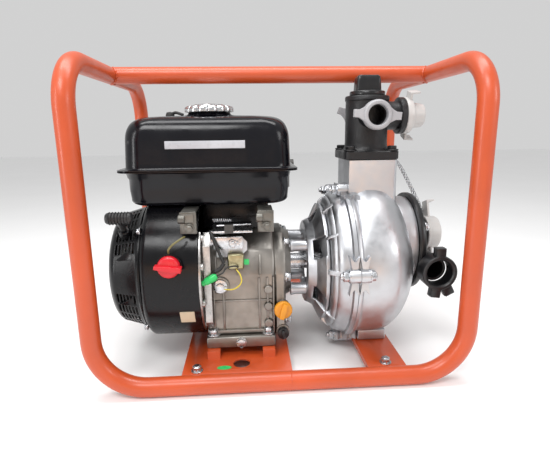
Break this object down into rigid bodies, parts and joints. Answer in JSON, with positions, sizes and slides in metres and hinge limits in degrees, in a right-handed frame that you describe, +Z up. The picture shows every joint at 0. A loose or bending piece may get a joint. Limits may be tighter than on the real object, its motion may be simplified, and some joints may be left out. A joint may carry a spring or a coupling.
{
  "type": "portable fire pump",
  "caption": "Portable petrol-engine fire pump in an orange tube frame, with a side tank, cast volute casing, hose outlets on top and a capped suction inlet.",
  "frame": {"origin": "on the ground, at the centre of the frame's footprint", "axes": "+X along the crankshaft from the recoil starter to the pump's suction cap, +Y away from the operator's side towards the muffler, +Z up"},
  "size_m": [0.5234, 0.3924, 0.441],
  "materials": {
    "orange_paint": "satin orange powder coat",
    "gloss_black": "gloss black enamel",
    "black_plastic": "satin moulded plastic",
    "cast_aluminium": "satin as-cast",
    "zinc_steel": "bright zinc plate",
    "grey_nylon": "light grey satin",
    "red_plastic": "semi-gloss red",
    "yellow_plastic": "satin yellow",
    "dark_iron": "dark oxide",
    "black_rubber": "matte black",
    "olive_plating": "yellow-green passivated zinc",
    "green_plastic": "satin green"
  },
  "bodies": {
    "pump_frame": {"air_cleaner_base": "black_plastic", "air_cleaner_cover": "black_plastic", "cap_chain": "zinc_steel", "carburetor": "cast_aluminium", "connecting_rod": "cast_aluminium", "control_plate": "zinc_steel", "crankcase": "cast_aluminium", "crankcase_side_cover": "cast_aluminium", "cylinder_head": "cast_aluminium", "engine_plate": "orange_paint", "fan_housing": "gloss_black", "front_volute": "cast_aluminium", "fuel_tank_lower": "gloss_black", "fuel_tank_upper": "gloss_black", "left_frame_hoop": "orange_paint", "muffler": "dark_iron", "oil_alert_unit": "olive_plating", "oil_drain_bolt": "zinc_steel", "oil_level_switch": "zinc_steel", "outlet_head": "black_plastic", "piston": "cast_aluminium", "pump_adapter": "cast_aluminium", "pump_plate": "orange_paint", "rear_casing": "cast_aluminium", "recoil_cover": "gloss_black", "right_frame_hoop": "orange_paint", "rocker_cover": "gloss_black", "side_stay": "zinc_steel", "spark_plug": "zinc_steel", "spark_plug_cap": "black_rubber", "suction_cover": "black_plastic", "switch_wire": "olive_plating", "tank_bracket_left": "olive_plating", "tank_bracket_right": "olive_plating", "tank_front_bar": "zinc_steel", "top_crossbar": "orange_paint", "wire_connector": "green_plastic"},
    "crank_train": {"crankshaft": "zinc_steel", "flywheel": "dark_iron", "impeller": "cast_aluminium", "mechanical_seal": "black_rubber"},
    "valve_camshaft": {"camshaft": "zinc_steel"},
    "pull_grip": {"starter_grip": "black_plastic"},
    "rope_pulley": {"starter_pulley": "black_plastic"},
    "stop_switch": {"engine_switch": "red_plastic"},
    "tank_cap": {"fuel_cap": "zinc_steel"},
    "oil_cap": {"oil_filler_cap": "yellow_plastic"},
    "oil_plug": {"oil_level_plug": "black_plastic"},
    "priming_plug": {"filler_plug": "black_plastic"},
    "front_ring": {"front_outlet_ring": "grey_nylon"},
    "rear_ring": {"rear_outlet_ring": "grey_nylon"},
    "side_outlet_cap": {"right_outlet_cap": "grey_nylon"},
    "inlet_cap": {"suction_cap": "grey_nylon"},
    "inlet_coupling": {"suction_coupling": "black_plastic"},
    "inlet_flap": {"check_valve_flap": "black_rubber"},
    "throttle": {"throttle_lever": "dark_iron"},
    "choke": {"choke_lever": "dark_iron"},
    "fuel_valve": {"fuel_valve_lever": "red_plastic"},
    "governor": {"governor_arm": "zinc_steel"},
    "filter_nut": {"air_cleaner_nut": "black_plastic"}
  },
  "joints": [
    {"name": "crank_spin", "type": "hinge", "parent": "pump_frame", "child": "crank_train", "pos_m": [0, -0.046, 0.139], "axis": [1, 0, 0], "continuous": true},
    {"name": "camshaft_spin", "type": "hinge", "parent": "pump_frame", "child": "valve_camshaft", "pos_m": [-0.05, -0.02, 0.088], "axis": [1, 0, 0], "continuous": true},
    {"name": "starter_pull", "type": "slide", "parent": "pump_frame", "child": "pull_grip", "axis": [0.399, -0.6583, 0.6383], "range_m": [0, 0.5], "stiffness_N_per_m": 30, "springref_m": -0.1},
    {"name": "starter_pulley_spin", "type": "hinge", "parent": "pump_frame", "child": "rope_pulley", "pos_m": [-0.227, -0.046, 0.139], "axis": [1, 0, 0], "range_deg": [0, 1062]},
    {"name": "switch_turn", "type": "hinge", "parent": "pump_frame", "child": "stop_switch", "pos_m": [-0.15, -0.151, 0.169], "axis": [0, -1, 0], "range_deg": [0, 90]},
    {"name": "fuel_cap_turn", "type": "hinge", "parent": "pump_frame", "child": "tank_cap", "pos_m": [-0.098, -0.03, 0.371], "axis": [0, 0, 1], "range_deg": [0, 90]},
    {"name": "oil_cap_turn", "type": "hinge", "parent": "pump_frame", "child": "oil_cap", "pos_m": [0.004, -0.118, 0.088], "axis": [0, -1, 0], "continuous": true},
    {"name": "oil_plug_turn", "type": "hinge", "parent": "pump_frame", "child": "oil_plug", "pos_m": [0.004, -0.113, 0.05], "axis": [0, -1, 0], "continuous": true},
    {"name": "filler_plug_turn", "type": "hinge", "parent": "pump_frame", "child": "priming_plug", "pos_m": [0.1385, -0.046, 0.392], "axis": [0, 0, 1], "continuous": true},
    {"name": "front_ring_turn", "type": "hinge", "parent": "pump_frame", "child": "front_ring", "pos_m": [0.1385, -0.102, 0.363], "axis": [0, -1, 0], "continuous": true},
    {"name": "rear_ring_turn", "type": "hinge", "parent": "pump_frame", "child": "rear_ring", "pos_m": [0.1385, 0.01, 0.363], "axis": [0, 1, 0], "continuous": true},
    {"name": "side_cap_turn", "type": "hinge", "parent": "pump_frame", "child": "side_outlet_cap", "pos_m": [0.205, -0.046, 0.363], "axis": [1, 0, 0], "range_deg": [0, 90]},
    {"name": "inlet_cap_turn", "type": "hinge", "parent": "pump_frame", "child": "inlet_cap", "pos_m": [0.24, -0.046, 0.18], "axis": [1, 0, 0], "range_deg": [0, 30]},
    {"name": "coupling_turn", "type": "hinge", "parent": "pump_frame", "child": "inlet_coupling", "pos_m": [0.224, -0.135, 0.144], "axis": [0, -1, 0], "continuous": true},
    {"name": "flap_swing", "type": "hinge", "parent": "pump_frame", "child": "inlet_flap", "pos_m": [0.2018, -0.046, 0.201], "axis": [0, 1, 0], "range_deg": [0, 45], "stiffness_Nm_per_rad": 0.02},
    {"name": "throttle_swing", "type": "hinge", "parent": "pump_frame", "child": "throttle", "pos_m": [-0.07, -0.098, 0.2095], "axis": [0, 0, 1], "range_deg": [-25, 25]},
    {"name": "choke_swing", "type": "hinge", "parent": "pump_frame", "child": "choke", "pos_m": [-0.13825, 0.099, 0.192], "axis": [-1, 0, 0], "range_deg": [0, 60]},
    {"name": "fuel_valve_swing", "type": "hinge", "parent": "pump_frame", "child": "fuel_valve", "pos_m": [-0.13825, 0.0915, 0.182], "axis": [1, 0, 0], "range_deg": [0, 90]},
    {"name": "governor_swing", "type": "hinge", "parent": "pump_frame", "child": "governor", "pos_m": [-0.06, -0.1175, 0.188], "axis": [0, 1, 0], "range_deg": [-6, 6], "stiffness_Nm_per_rad": 0.2},
    {"name": "filter_nut_turn", "type": "hinge", "parent": "pump_frame", "child": "filter_nut", "pos_m": [-0.157, 0.131, 0.312], "axis": [0, 0, 1], "continuous": true}
  ],
  "couplings": [
    {"joint": "camshaft_spin", "follows": "crank_spin", "ratio": -0.5},
    {"joint": "starter_pulley_spin", "follows": "starter_pull", "rad_per_m": 37}
  ]
}
